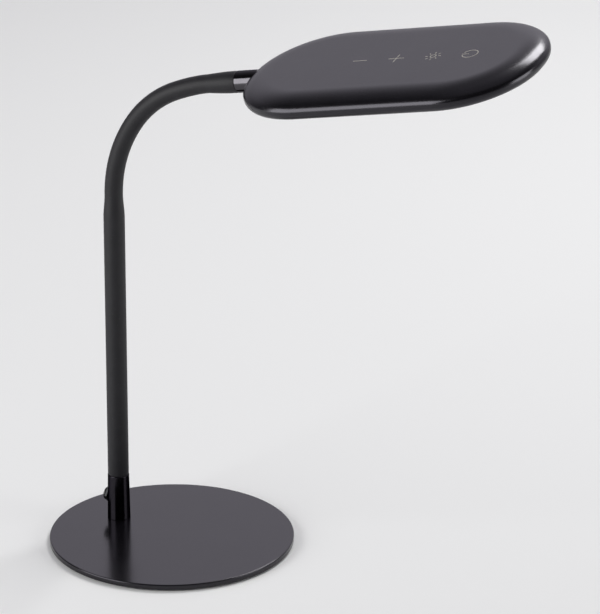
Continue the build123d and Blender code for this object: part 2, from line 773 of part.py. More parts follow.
with BuildPart() as head_top_shell:
    add(rounded_form(0))
    add(head_cavity.part, mode=Mode.SUBTRACT)
    with BuildSketch(head_level(cover_floor)):
        with Locations((recess_depth + nose_block_length / 2, 0)):
            Rectangle(nose_block_length, nose_block_width)
        with Locations(*screw_places):
            Circle(head_boss_diameter / 2)
    extrude(amount=cover_depth - cover_floor)
    with BuildSketch(along_axis(-recess_depth)):
        Circle(ferrule_diameter / 2 + swivel_clearance)
    extrude(amount=2 * recess_depth, mode=Mode.SUBTRACT)
    with BuildSketch(along_axis(0)):
        Circle(shaft_diameter / 2 + slip_fit)
    extrude(amount=2 * washer_start, mode=Mode.SUBTRACT)
    with BuildSketch(head_level(cover_floor)):
        with Locations(*screw_places):
            Circle(head_screw_diameter / 2 + thread_fit)
    extrude(amount=head_screw_length - cover_floor + loose_fit, mode=Mode.SUBTRACT)
    with BuildSketch(head_level(board_top)):
        with Locations(*board_screw_places):
            Circle(board_screw_diameter / 2 + thread_fit)
    extrude(amount=roof - board_top, mode=Mode.SUBTRACT)
    for icon in (icon_minus, icon_plus, icon_mode, icon_power):
        add(icon.part, mode=Mode.SUBTRACT)
pieces["head_top_shell"] = head_top_shell

os.makedirs("parts", exist_ok=True)
for name, piece in pieces.items():
    solid = piece.part if isinstance(piece, BuildPart) else piece
    solid.label = name
    export_step(solid, f"parts/{name}.step")

for number, place in enumerate(hinges, 1):
    print("hinge", number, *(round(value, 3) for value in (*place.origin, *place.z_dir)))
print("nose", *(round(value, 3) for value in (*nose, *neck_end.z_dir, *head_up)))
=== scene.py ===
import json
import math

import bpy
from mathutils import Matrix, Vector


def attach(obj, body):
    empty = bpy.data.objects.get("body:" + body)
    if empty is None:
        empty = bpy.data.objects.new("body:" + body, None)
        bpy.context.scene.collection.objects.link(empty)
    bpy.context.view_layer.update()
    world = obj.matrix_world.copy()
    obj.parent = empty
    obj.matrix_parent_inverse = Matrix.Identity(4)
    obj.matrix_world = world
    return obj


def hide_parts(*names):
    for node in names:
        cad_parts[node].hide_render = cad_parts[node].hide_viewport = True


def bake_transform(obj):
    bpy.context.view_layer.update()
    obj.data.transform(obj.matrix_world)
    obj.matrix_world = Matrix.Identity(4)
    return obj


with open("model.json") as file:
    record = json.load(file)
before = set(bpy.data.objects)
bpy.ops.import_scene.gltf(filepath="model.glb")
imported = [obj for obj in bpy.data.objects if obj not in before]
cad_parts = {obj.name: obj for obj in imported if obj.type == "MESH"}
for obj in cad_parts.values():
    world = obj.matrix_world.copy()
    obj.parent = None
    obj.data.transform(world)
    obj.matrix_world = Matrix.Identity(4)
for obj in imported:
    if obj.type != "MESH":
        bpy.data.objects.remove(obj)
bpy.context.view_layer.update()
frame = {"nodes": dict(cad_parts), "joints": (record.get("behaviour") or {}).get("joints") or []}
scene = bpy.context.scene
nodes = frame["nodes"]
mm = 0.001
fullTurn = 2 * math.pi
tiny = 1e-6


# camera: where the base centre falls in the view, how far it is and how it is turned to the neck
shot = {"turn": 27.0, "down": 21.4928, "distance": 3.1783, "focalPixels": 4310.1, "view": (600, 614),
        "basePixel": (172.01, 538.15), "baseCentre": (0, 0, 0.001), "sensor": 36.0}


def makeCamera():
    turn, down = math.radians(shot["turn"]), math.radians(shot["down"])
    right = Vector((math.cos(turn), math.sin(turn), 0))
    ahead = Vector((-math.sin(turn) * math.cos(down), math.cos(turn) * math.cos(down), -math.sin(down)))
    up = right.cross(ahead)
    wide, high = shot["view"]
    across = (shot["basePixel"][0] - wide / 2) / shot["focalPixels"] * shot["distance"]
    above = (high / 2 - shot["basePixel"][1]) / shot["focalPixels"] * shot["distance"]
    place = Vector(shot["baseCentre"]) - right * across - up * above - ahead * shot["distance"]
    camera = bpy.data.objects.new("camera", bpy.data.cameras.new("camera"))
    scene.collection.objects.link(camera)
    camera.matrix_world = Matrix.Translation(place) @ Matrix((right, up, -ahead)).transposed().to_4x4()
    camera.data.sensor_fit = "VERTICAL"
    camera.data.sensor_height = shot["sensor"]
    camera.data.sensor_width = shot["sensor"]
    camera.data.lens = shot["focalPixels"] / high * shot["sensor"]
    camera.data.clip_end = 20
    scene.camera = camera


makeCamera()
print("camera is set")


def deselectAll():
    bpy.ops.object.select_all(action="DESELECT")


def choose(piece):
    deselectAll()
    piece.select_set(True)
    bpy.context.view_layer.objects.active = piece


def nameIt(name):
    piece = bpy.context.object
    piece.name = piece.data.name = name
    return piece


# selects the corners, edges or faces whose corners all pass the test, in edit mode
def pick(kind, test):
    mesh = bpy.context.object.data
    bpy.ops.mesh.select_mode(type=kind)
    bpy.ops.mesh.select_all(action="DESELECT")
    bpy.ops.object.mode_set(mode="OBJECT")
    parts = {"VERT": mesh.vertices, "EDGE": mesh.edges, "FACE": mesh.polygons}[kind]
    for part in parts:
        corners = [part.co] if kind == "VERT" else [mesh.vertices[c].co for c in part.vertices]
        part.select = all(test(c) for c in corners)
    bpy.ops.object.mode_set(mode="EDIT")


def closeMesh():
    bpy.ops.mesh.select_all(action="SELECT")
    bpy.ops.mesh.remove_doubles(threshold=tiny)
    bpy.ops.mesh.fill_holes(sides=0)
    bpy.ops.mesh.normals_make_consistent(inside=False)
    bpy.ops.object.mode_set(mode="OBJECT")


def applyChange(piece, kind, **settings):
    choose(piece)
    bpy.ops.object.modifier_add(type=kind)
    change = piece.modifiers[-1]
    for name, value in settings.items():
        setattr(change, name, value)
    bpy.ops.object.modifier_apply(modifier=change.name)


def cutWith(piece, tool, operation="DIFFERENCE"):
    applyChange(piece, "BOOLEAN", operation=operation, object=tool, solver="EXACT")
    bpy.data.objects.remove(tool)


def placeAt(piece, place):
    choose(piece)
    piece.matrix_world = place
    bpy.ops.object.transform_apply(location=True, rotation=True, scale=True)


def shadeSmooth(piece, angle=40):
    choose(piece)
    bpy.ops.object.shade_smooth_by_angle(angle=math.radians(angle))


def smooth(piece, angle=32):
    shadeSmooth(piece, angle)
    applyChange(piece, "WEIGHTED_NORMAL", keep_sharp=True)


# turns a profile about Z: each point is radius, height and, where the corner is rounded, its round, in mm
def turned(name, profile, steps=96, closed=False, segments=4):
    deselectAll()
    bpy.ops.mesh.primitive_plane_add(size=mm)
    piece = nameIt(name)
    bpy.ops.object.mode_set(mode="EDIT")
    bpy.ops.mesh.select_all(action="SELECT")
    bpy.ops.mesh.merge(type="CENTER")
    points = [Vector((point[0], 0, point[1])) * mm for point in profile]
    bpy.ops.transform.translate(value=points[0])
    for start, end in zip(points, points[1:]):
        bpy.ops.mesh.extrude_vertices_move(TRANSFORM_OT_translate={"value": end - start})
    if closed:
        pick("VERT", lambda c: (c - points[0]).length < tiny or (c - points[-1]).length < tiny)
        bpy.ops.mesh.edge_face_add()
    for point, spot in zip(profile, points):
        if len(point) > 2:
            pick("VERT", lambda c: (c - spot).length < tiny)
            bpy.ops.mesh.bevel(offset=point[2] * mm, segments=segments, affect="VERTICES")
    bpy.ops.mesh.select_all(action="SELECT")
    bpy.ops.mesh.spin(steps=steps, angle=fullTurn, center=(0, 0, 0), axis=(0, 0, 1))
    closeMesh()
    return piece


def rod(name, radius, low, high, x=0, y=0, steps=48):
    deselectAll()
    bpy.ops.mesh.primitive_cylinder_add(vertices=steps, radius=radius * mm, depth=(high - low) * mm,
                                        location=(x * mm, y * mm, (low + high) / 2 * mm))
    bpy.ops.object.transform_apply(location=True)
    return nameIt(name)


def block(name, low, high):
    deselectAll()
    middle = [(a + b) / 2 * mm for a, b in zip(low, high)]
    bpy.ops.mesh.primitive_cube_add(size=1, location=middle, scale=[(b - a) * mm for a, b in zip(low, high)])
    bpy.ops.object.transform_apply(location=True, scale=True)
    return nameIt(name)


def joined(pieces):
    deselectAll()
    for piece in pieces:
        piece.select_set(True)
    bpy.context.view_layer.objects.active = pieces[0]
    bpy.ops.object.join()
    return bpy.context.object


# a rounded plan drawn in by levels: pairs of inset and height, where the inset never shrinks
def layered(name, plan, levels):
    steps = plan.get("steps", 192)
    corner = plan["corner"] - levels[0][0]
    deselectAll()
    bpy.ops.mesh.primitive_circle_add(vertices=steps, radius=corner * mm, fill_type="NGON",
                                      location=(0, 0, levels[0][1] * mm), rotation=(0, 0, math.pi / steps))
    bpy.ops.object.transform_apply(location=True, rotation=True)
    piece = nameIt(name)
    bpy.ops.object.mode_set(mode="EDIT")
    apart = [(size / 2 - plan["corner"]) * mm for size in (plan["length"], plan["width"])]
    for axis in (0, 1):
        for side in (1, -1):
            move = [0, 0, 0]
            move[axis] = side * apart[axis]
            pick("VERT", lambda c: c[axis] * side > 0)
            bpy.ops.transform.translate(value=move)
    bpy.ops.mesh.select_all(action="SELECT")
    bpy.ops.transform.translate(value=(plan["middle"] * mm, 0, 0))
    pick("FACE", lambda c: True)
    for (inset, height), (nextInset, nextHeight) in zip(levels, levels[1:]):
        rise = (nextHeight - height) * mm
        if nextInset > inset:
            bpy.ops.mesh.inset(thickness=(nextInset - inset) * mm, depth=rise)
        else:
            bpy.ops.mesh.extrude_region_move(TRANSFORM_OT_translate={"value": (0, 0, rise)})
    closeMesh()
    return piece


# levels along a quarter of an ellipse, from its steep side to its flat one
def quarter(inset, height, reach, rise, count):
    turns = [math.pi / 2 * place / count for place in range(count + 1)]
    return [(inset + reach * (1 - math.cos(turn)), height + rise * math.sin(turn)) for turn in turns]


def finishPiece(piece, material, body, replaces):
    piece.data.materials.clear()
    piece.data.materials.append(material)
    if body:
        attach(piece, body)
    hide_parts(*replaces)


# a socket that can be used in sums: each sum adds its Math node
class Wire:
    def __init__(self, paint, socket):
        self.paint, self.socket = paint, socket

    def sum(self, operation, first, second):
        return self.paint.node("ShaderNodeMath", {"operation": operation}, {0: first, 1: second})

    def __add__(self, other):
        return self.sum("ADD", self, other)

    def __radd__(self, other):
        return self.sum("ADD", other, self)

    def __sub__(self, other):
        return self.sum("SUBTRACT", self, other)

    def __rsub__(self, other):
        return self.sum("SUBTRACT", other, self)

    def __mul__(self, other):
        return self.sum("MULTIPLY", self, other)

    def __rmul__(self, other):
        return self.sum("MULTIPLY", other, self)


# a material or a world that is built up node by node
class Paint:
    def __init__(self, owner):
        owner.use_nodes = True
        self.owner, self.tree = owner, owner.node_tree

    def node(self, kind, settings=None, sockets=None, output=0):
        made = self.tree.nodes.new(kind)
        for name, value in (settings or {}).items():
            if name == "stops":
                ramp = made.color_ramp
                while len(ramp.elements) < len(value):
                    ramp.elements.new(1)
                for element, (place, colour) in zip(ramp.elements, value):
                    element.position, element.color = place, (*colour, 1)
            else:
                setattr(made, name, value)
        for key, value in (sockets or {}).items():
            self.feed(made.inputs[key], value)
        return Wire(self, made.outputs[output])

    def feed(self, socket, value):
        if isinstance(value, Wire):
            self.tree.links.new(value.socket, socket)
        else:
            socket.default_value = value

    def place(self, scale=(1, 1, 1), turn=(0, 0, 0), centre=(0, 0, 0)):
        spot = self.node("ShaderNodeTexCoord", output="Object")
        return self.node("ShaderNodeMapping", {"vector_type": "POINT"},
                         {"Vector": spot, "Location": centre, "Rotation": turn, "Scale": scale})

    def noise(self, size, detail=3, vector=None, rough=0.5):
        sockets = {"Vector": vector or self.place(), "Scale": 1 / (size * mm),
                   "Detail": detail, "Roughness": rough}
        return self.node("ShaderNodeTexNoise", {}, sockets)

    def ramp(self, factor, low, high, dark=(0, 0, 0), light=(1, 1, 1)):
        return self.node("ShaderNodeValToRGB", {"stops": [(low, dark), (high, light)]}, {0: factor})

    def blend(self, factor, first, second):
        first, second = ((*value, 1) if isinstance(value, tuple) else value for value in (first, second))
        return self.node("ShaderNodeMix", {"data_type": "RGBA"}, {0: factor, 6: first, 7: second}, output=2)

    def bump(self, height, depth, strength=1.0, normal=None):
        sockets = {"Height": height, "Distance": depth * mm, "Strength": strength}
        if normal:
            sockets["Normal"] = normal
        return self.node("ShaderNodeBump", {}, sockets)


def surface(name, sockets, build):
    material = bpy.data.materials.new(name)
    paint = Paint(material)
    shader = paint.tree.nodes["Principled BSDF"]
    for key, value in {**sockets, **build(paint)}.items():
        value = (*value, 1) if isinstance(value, tuple) else value
        paint.feed(shader.inputs[key], value)
    return material


# black plastic: a fine moulded grain, polished a little by hands here and there, and a few specks of dust
mouldedLook = {"colour": (0.0034, 0.0031, 0.0042), "worn": (0.0048, 0.0044, 0.0058),
               "dust": (0.024, 0.023, 0.027), "rough": 0.225, "vary": 0.07, "grain": 0.45,
               "grainDepth": 0.0030, "wave": 24.0}


def mouldedPlastic(name, look):
    def build(paint):
        cloud = paint.noise(look["wave"], detail=4, rough=0.6)
        grain = paint.noise(look["grain"], detail=3)
        speck = paint.ramp(paint.noise(0.55, detail=1), 0.74, 0.78)
        body = paint.blend(paint.ramp(cloud, 0.35, 0.7), look["colour"], look["worn"])
        return {"Base Color": paint.blend(speck, body, look["dust"]),
                "Roughness": look["rough"] + look["vary"] * cloud + 0.10 * speck - 0.5 * look["vary"],
                "Normal": paint.bump(grain, look["grainDepth"])}
    return surface(name, {"IOR": 1.5, "Specular Tint": (0.93, 0.90, 1.0)}, build)


# satin powder coat: slight orange peel, pale specks and short hairline scratches
coatLook = {"colour": (0.0030, 0.0027, 0.0037), "speck": (0.0075, 0.007, 0.0085),
            "scratch": (0.012, 0.0115, 0.013), "rough": 0.185, "peel": 0.8, "peelDepth": 0.0035}


def powderCoat(name, look):
    def build(paint):
        peel = paint.noise(look["peel"], detail=2)
        fine = paint.noise(look["peel"] * 0.25, detail=3)
        cloud = paint.noise(38.0, detail=4, rough=0.6)
        specks = paint.ramp(fine, 0.66, 0.74)
        along = paint.place(turn=(0, 0, 0.6), scale=(1, 14, 1))
        across = paint.place(turn=(0, 0, -0.9), scale=(14, 1, 1))
        hairs = paint.ramp(paint.noise(16.0, detail=2, vector=along), 0.735, 0.755)
        hairsAcross = paint.ramp(paint.noise(19.0, detail=2, vector=across), 0.745, 0.765)
        marks = hairs + hairsAcross
        body = paint.blend(specks, look["colour"], look["speck"])
        return {"Base Color": paint.blend(marks, body, look["scratch"]),
                "Roughness": look["rough"] + 0.05 * cloud + 0.05 * fine + 0.08 * marks - 0.05,
                "Normal": paint.bump(peel + 0.3 * fine, look["peelDepth"])}
    return surface(name, {"IOR": 1.5, "Specular Tint": (0.94, 0.90, 1.0)}, build)


# silicone sleeve: matt, with a faint bloom, fine grain and scattered lint
siliconeLook = {"colour": (0.0085, 0.0080, 0.0100), "bloom": (0.0125, 0.0118, 0.0145),
                "lint": (0.07, 0.07, 0.075), "rough": 0.56, "grain": 0.35, "grainDepth": 0.009}


def silicone(name, look):
    def build(paint):
        grain = paint.noise(look["grain"], detail=4, rough=0.6)
        cloud = paint.noise(9.0, detail=4, rough=0.6)
        lint = paint.ramp(paint.noise(0.7, detail=1), 0.745, 0.775)
        body = paint.blend(paint.ramp(cloud, 0.35, 0.7), look["colour"], look["bloom"])
        return {"Base Color": paint.blend(lint, body, look["lint"]),
                "Roughness": look["rough"] + 0.12 * cloud + 0.1 * lint - 0.05,
                "Normal": paint.bump(grain, look["grainDepth"])}
    return surface(name, {"IOR": 1.4, "Sheen Weight": 0.025, "Sheen Roughness": 0.4}, build)


# metal with fine turning marks round its own axis
def turnedMetal(name, look, centre=(0, 0, 0), along=(0, 0, 1)):
    tilt = Vector(along).rotation_difference(Vector((0, 0, 1))).to_euler()

    def build(paint):
        turnedPlace = paint.place(centre=tuple(-(tilt.to_matrix() @ Vector(centre))), turn=tuple(tilt))
        split = paint.node("ShaderNodeSeparateXYZ", {}, {0: turnedPlace}, output=2)
        lines = paint.node("ShaderNodeCombineXYZ", {}, {2: split})
        marks = paint.noise(look["mark"], detail=4, vector=lines, rough=0.65)
        cloud = paint.noise(6.0, detail=3)
        return {"Base Color": paint.blend(cloud, look["colour"], look["light"]),
                "Roughness": look["rough"] + 0.06 * marks + 0.05 * cloud - 0.055,
                "Normal": paint.bump(marks, look["depth"])}
    return surface(name, {"Metallic": 1.0, "Specular Tint": (look["edge"],) * 3}, build)


# any plain finish: a colour that clouds a little and a fine grain
def plainFinish(name, colour, rough, metal=0.0, size=1.0, depth=0.004, shade=0.75):
    def build(paint):
        cloud = paint.noise(size * 6, detail=3)
        grain = paint.noise(size, detail=3)
        darker = tuple(part * shade for part in colour)
        return {"Base Color": paint.blend(paint.ramp(cloud, 0.3, 0.7), darker, colour),
                "Roughness": rough + 0.1 * grain - 0.05,
                "Normal": paint.bump(grain, depth)}
    return surface(name, {"Metallic": metal}, build)


hinges = [Vector(joint["pos_m"]) for joint in frame["joints"][:-1]]
swivel = frame["joints"][-1]
nose, noseAxis = Vector(swivel["pos_m"]), Vector(swivel["axis"]).normalized()

# neck: sizes of the sleeve, and how much of each stretch bends
neck = {"radius": 6.7, "wall": 1.6, "stemRadius": 7.75, "taperFoot": 242.0, "taperLength": 17.3,
        "tubeTop": 244.1, "stemRing": 60, "boreGap": 0.3, "ringSteps": 64, "arcSteps": 10, "reach": 10.7,
        "bendShare": 0.85, "lipLength": 24.3, "lipTaper": 17.5, "lipRadius": 7.8, "lipSwell": 1.3,
        "ferruleLength": 11.9, "bore": 4.45}


def acrossSlope(slope):
    return Vector((math.sin(slope), 0, -math.cos(slope)))


class Bend:
    def __init__(self, start, end, slope):
        chord = end - start
        self.slope = slope
        self.turn = 2 * (slope - math.atan2(chord.z, chord.x))
        self.radius = chord.length / 2 / math.sin(self.turn / 2)
        self.centre = start + self.radius * acrossSlope(slope)

    def slopeAt(self, share):
        return self.slope - self.turn * share

    def pointAt(self, share):
        return self.centre - self.radius * acrossSlope(self.slopeAt(share))


lipStart = nose - noseAxis * (neck["ferruleLength"] + neck["lipLength"]) * mm
bends = []
slope = math.pi / 2
for start, end in zip(hinges, [*hinges[1:], lipStart]):
    bends.append(Bend(start, end, slope))
    slope -= bends[-1].turn

lipSeam = neck["reach"] - bends[-1].radius * bends[-1].turn / mm


def ease(share):
    share = min(max(share, 0), 1)
    return share * share * (3 - 2 * share)


def stemRadiusAt(height):
    share = ease((height - neck["taperFoot"]) / neck["taperLength"])
    return neck["stemRadius"] + (neck["radius"] - neck["stemRadius"]) * share


# radius of the sleeve this far along its straight end
def lipRadiusAt(distance):
    share = min(distance / neck["lipTaper"], 1)
    return neck["lipRadius"] - (neck["lipRadius"] - neck["radius"]) * (1 - share) ** neck["lipSwell"]


def ringAt(name, point, slope, radius):
    deselectAll()
    bpy.ops.mesh.primitive_circle_add(vertices=neck["ringSteps"], radius=radius * mm, location=point,
                                      rotation=(0, math.pi / 2 - slope, 0))
    bpy.ops.object.transform_apply(location=True, rotation=True)
    piece = nameIt(name)
    bpy.ops.object.mode_set(mode="EDIT")
    bpy.ops.mesh.select_all(action="SELECT")
    return piece


def spinBend(bend, share):
    bpy.ops.mesh.spin(steps=neck["arcSteps"], angle=bend.turn * share, center=bend.centre, axis=(0, -1, 0))


# runs the open end on in a straight line, as wide at each step as the list says
def runOn(step, radii):
    for radius, nextRadius in zip(radii, radii[1:]):
        bpy.ops.mesh.extrude_edges_move(TRANSFORM_OT_translate={"value": step})
        bpy.ops.transform.resize(value=(nextRadius / radius,) * 3)


def sleeveAround(number, material):
    name = f"neckSleeve{number}"
    hinge, bend = hinges[number - 1], bends[number - 1]
    if number == 1:
        foot = hinge.z / mm - neck["reach"]
        piece = ringAt(name, (hinge.x, hinge.y, foot * mm), math.pi / 2, stemRadiusAt(foot))
        rise = neck["reach"] / neck["arcSteps"]
        runOn((0, 0, rise * mm), [stemRadiusAt(foot + rise * step) for step in range(neck["arcSteps"] + 1)])
    else:
        before = bends[number - 2]
        piece = ringAt(name, before.pointAt(0.5), before.slopeAt(0.5), neck["radius"])
        spinBend(before, 0.5)
    spinBend(bend, 1 if number == len(hinges) else 0.5)
    if number == len(hinges):
        run = lipSeam / neck["arcSteps"]
        runOn(noseAxis * run * mm, [lipRadiusAt(run * step) for step in range(neck["arcSteps"] + 1)])
    bpy.ops.mesh.select_all(action="SELECT")
    bpy.ops.mesh.remove_doubles(threshold=tiny)
    bpy.ops.mesh.normals_make_consistent(inside=False)
    bpy.ops.object.mode_set(mode="OBJECT")
    applyChange(piece, "SOLIDIFY", thickness=neck["wall"] * mm, offset=-1, use_even_offset=True)
    shadeSmooth(piece)
    tangent = Vector((math.cos(bend.slope), 0, math.sin(bend.slope)))
    reach = tangent * neck["reach"] * neck["bendShare"] * mm
    hinge + reach
    hinge - reach
    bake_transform(piece)
    finishPiece(piece, material, None, [f"neck_sleeve_{number}"])


# frame along the ferrule's axis, Z towards the nose and X to the outer side, origin at the sleeve's lip
outerSide = -acrossSlope(math.asin(noseAxis.z))
lipPlace = Matrix((outerSide, noseAxis.cross(outerSide), noseAxis)).transposed().to_4x4()
lipPlace.translation = nose - noseAxis * neck["ferruleLength"] * mm

# head frame: X along the head from its nose, Z up from its underside
headPose = {"roll": 9.7, "axisHeight": 4.9}
roll = math.radians(headPose["roll"])
headUp = outerSide * math.cos(roll) - Vector((0, 1, 0)) * math.sin(roll)
headPlace = Matrix((noseAxis, headUp.cross(noseAxis), headUp)).transposed().to_4x4()
headPlace.translation = nose - headUp * headPose["axisHeight"] * mm

stemMiddle = hinges[0].copy()
stemMiddle.z = 0
jackTurn = math.atan2(stemMiddle.y, stemMiddle.x)


def stemFrame(height=0.0):
    return Matrix.Translation(stemMiddle + Vector((0, 0, height * mm)))


# frame on the stem's axis with Z outwards, turned about the stem
def sideFrame(turn, height):
    return stemFrame(height) @ Matrix.Rotation(turn, 4, "Z") @ Matrix.Rotation(math.pi / 2, 4, "Y")


base = {"radius": 90.0, "bottom": 1.0, "top": 5.0, "edgeRound": 0.9, "lowerRound": 0.35, "steps": 192,
        "screwHole": 3.1, "screwHead": 6.1, "padRadius": 86.0, "padRound": 0.3, "padHole": 7.0}


def makeBase(coat, rubber):
    plate = turned("basePlate", [(0, base["bottom"]), (base["radius"], base["bottom"], base["lowerRound"]),
                                 (base["radius"], base["top"], base["edgeRound"]), (0, base["top"])],
                   steps=base["steps"], segments=6)
    sink = base["screwHead"] - base["screwHole"]
    low, high = base["bottom"] - 0.1, base["top"] + 1
    tool = turned("screwTool", [(0, low), (base["screwHead"] + 0.1, low),
                                (base["screwHole"], base["bottom"] + sink), (base["screwHole"], high),
                                (0, high)], steps=64)
    placeAt(tool, stemFrame())
    cutWith(plate, tool)
    smooth(plate)
    finishPiece(plate, coat, "stand", ["base_plate"])
    top = base["bottom"]
    pad = turned("basePad", [(0, 0), (base["padRadius"], 0, base["padRound"]), (base["padRadius"], top),
                             (0, top)], steps=base["steps"])
    tool = rod("padTool", base["padHole"], -0.5, 1.5)
    placeAt(tool, stemFrame())
    cutWith(pad, tool)
    smooth(pad)
    finishPiece(pad, rubber, "stand", ["base_pad"])


collar = {"foot": 5.0, "top": 40.0, "radius": 8.5, "rimRadius": 7.95, "chamfer": 0.6, "footRound": 0.35,
          "bore": 3.05, "floor": 12.0, "chamber": 5.6, "seat": 26.0, "tube": 6.05, "jackHeight": 21.0,
          "jackHole": 4.05, "spotRadius": 5.92, "spotDepth": 7.3, "grubHeight": 34.0, "grubHole": 1.55}
jack = {"inside": -2.0, "face": 11.1, "radius": 4.0, "flange": 5.0, "flangeStart": 9.7, "chamfer": 0.4,
        "mouth": 2.8, "mouthRound": 0.35, "depth": 9.5, "nutStart": 7.3, "nutEnd": 9.3, "nutRadius": 5.77}


def makeCollar(metal):
    rim = collar["top"]
    piece = turned("stemCollar", [(collar["bore"], collar["foot"]),
                                  (collar["radius"], collar["foot"], collar["footRound"]),
                                  (collar["rimRadius"], rim - collar["chamfer"], 0.15),
                                  (collar["rimRadius"] - collar["chamfer"], rim, 0.15), (collar["tube"], rim),
                                  (collar["tube"], collar["seat"]), (collar["chamber"], collar["seat"]),
                                  (collar["chamber"], collar["floor"]), (collar["bore"], collar["floor"])],
                   steps=128, closed=True, segments=3)
    placeAt(piece, stemFrame())
    for radius, start, turn, height in (
            (collar["jackHole"], 0, jackTurn, collar["jackHeight"]),
            (collar["spotRadius"], collar["spotDepth"], jackTurn, collar["jackHeight"]),
            (collar["grubHole"], 0, jackTurn - math.pi / 2, collar["grubHeight"])):
        tool = rod("collarTool", radius, start, 12)
        placeAt(tool, sideFrame(turn, height))
        cutWith(piece, tool)
    smooth(piece)
    finishPiece(piece, metal, "stand", ["stem_collar"])


def makeJack(plastic, metal):
    side = sideFrame(jackTurn, collar["jackHeight"])
    profile = [(0, jack["inside"]), (jack["radius"], jack["inside"], 0.2),
               (jack["radius"], jack["flangeStart"]), (jack["flange"], jack["flangeStart"], 0.2),
               (jack["flange"], jack["face"], jack["chamfer"]),
               (jack["mouth"], jack["face"], jack["mouthRound"]),
               (jack["mouth"], jack["face"] - jack["depth"]), (0, jack["face"] - jack["depth"])]
    barrel = turned("jackBarrel", profile, steps=64)
    placeAt(barrel, side)
    smooth(barrel, 28)
    finishPiece(barrel, plastic, "stand", ["dc_jack_barrel"])
    nut = rod("jackNut", jack["nutRadius"], jack["nutStart"], jack["nutEnd"], steps=6)
    bpy.ops.object.mode_set(mode="EDIT")
    bpy.ops.mesh.select_all(action="SELECT")
    bpy.ops.mesh.bevel(offset=0.25 * mm, segments=3)
    bpy.ops.object.mode_set(mode="OBJECT")
    cutWith(nut, rod("nutTool", jack["radius"] + 0.05, 0, 12))
    placeAt(nut, side)
    smooth(nut)
    finishPiece(nut, metal, "stand", ["dc_jack_nut"])


def makeStemSleeve(material):
    seam = hinges[0].z / mm - neck["reach"]
    count = 6
    rises = [neck["taperFoot"] + (seam - neck["taperFoot"]) * step / count for step in range(count + 1)]
    foot = collar["top"]
    profile = [(collar["tube"], foot), (neck["stemRadius"], foot, 0.35)]
    profile += [(neck["stemRadius"], foot + neck["stemRing"] * step) for step in (1, 2, 3)]
    profile += [(stemRadiusAt(rise), rise) for rise in rises]
    bore, tubeTop = neck["bore"] + neck["boreGap"], neck["tubeTop"]
    profile += [(bore, seam), (bore, tubeTop), (collar["tube"], tubeTop)]
    piece = turned("stemSleeve", profile, steps=96, closed=True)
    placeAt(piece, stemFrame())
    shadeSmooth(piece)
    finishPiece(piece, material, "stand", ["stem_sleeve"])


def makeLip(material):
    length, count = neck["lipLength"], 10
    steps = [lipSeam + (neck["lipTaper"] - lipSeam) * step / count for step in range(count + 1)]
    profile = [(neck["bore"], lipSeam)] + [(lipRadiusAt(distance), distance) for distance in steps]
    profile += [(neck["lipRadius"], length, 0.45), (neck["bore"], length)]
    piece = turned("neckLip", profile, steps=neck["ringSteps"], closed=True)
    placeAt(piece, lipPlace @ Matrix.Translation((0, 0, -length * mm)))
    shadeSmooth(piece)
    finishPiece(piece, material, "neck_7", [f"neck_sleeve_{len(hinges)}"])


ferrule = {"radius": 7.9, "length": 17.6, "edge": 0.45, "spigot": 4.4, "spigotLength": 10.0, "bore": 1.9,
           "shaft": 2.9, "end": 30.95}


def makeFerrule(metal):
    piece = turned("headFerrule", [(ferrule["bore"], -ferrule["spigotLength"]),
                                   (ferrule["spigot"], -ferrule["spigotLength"], 0.3), (ferrule["spigot"], 0),
                                   (ferrule["radius"], 0, ferrule["edge"]),
                                   (ferrule["radius"], ferrule["length"], ferrule["edge"]),
                                   (ferrule["shaft"], ferrule["length"]),
                                   (ferrule["shaft"], ferrule["end"], 0.3),
                                   (ferrule["bore"], ferrule["end"])], steps=128, closed=True)
    placeAt(piece, lipPlace)
    smooth(piece)
    finishPiece(piece, metal, "neck_7", ["head_ferrule"])


head = {"middle": 113.2, "length": 226.4, "width": 123.4, "corner": 59.6, "parting": 5.8, "belt": 6.3,
        "top": 15.0, "beyond": 20, "rim": 20.0, "wall": 2.2, "seam": 0.16, "floor": 2.6, "underRound": 5.5,
        "innerRound": 2.0, "coverWall": 3.55, "lipInset": 2.35, "lipTop": 7.0, "lipGap": 28.1, "recess": 8.2,
        "recessDepth": 6.0, "shaftHole": 2.95, "nutRoom": 4.3, "nutStart": 13.45, "nutEnd": 19.65,
        "blockEnd": 14.0, "blockHalf": 11.0, "plateTop": 7.35}
headScrew = {"margin": 8.2, "boss": 2.5, "hole": 1.25, "clearHole": 1.3, "sink": 2.35, "depth": 1.3,
             "length": 8.0}
posts = {"radius": 2.5, "spacingX": 120.0, "spacingY": 70.0, "boardX": 54.0, "boardY": 7.0,
         "boardRadius": 2.6, "boardTop": 10.1, "boardMiddle": 130.75}
window = {"start": 36.0, "margin": 13.0, "ledge": 2.0, "ledgeHeight": 1.1, "fit": 0.15, "thickness": 2.0,
          "edge": 0.35}
window["end"] = head["length"] - window["margin"]


def headScrewPlaces():
    reach = (head["corner"] - headScrew["margin"]) / math.sqrt(2)
    far, wide = head["length"] - head["corner"] + reach, head["width"] / 2 - head["corner"] + reach
    places = [(head["middle"], side * (head["width"] / 2 - headScrew["margin"])) for side in (1, -1)]
    return places + [(x, side * wide) for x in (head["length"] - far, far) for side in (1, -1)]


def panelPlan(inset):
    return {"middle": (window["start"] + window["end"]) / 2,
            "length": window["end"] - window["start"] - 2 * inset,
            "width": head["width"] - 2 * (window["margin"] + inset),
            "corner": head["corner"] - window["margin"] - inset, "steps": 128}


# a tool along the ferrule's axis, placed in the head's own frame
def alongNose(name, radius, low, high):
    tool = rod(name, radius, low, high, steps=96)
    turn = Matrix.Rotation(math.pi / 2, 4, "Y")
    placeAt(tool, Matrix.Translation((0, 0, headPose["axisHeight"] * mm)) @ turn)
    return tool


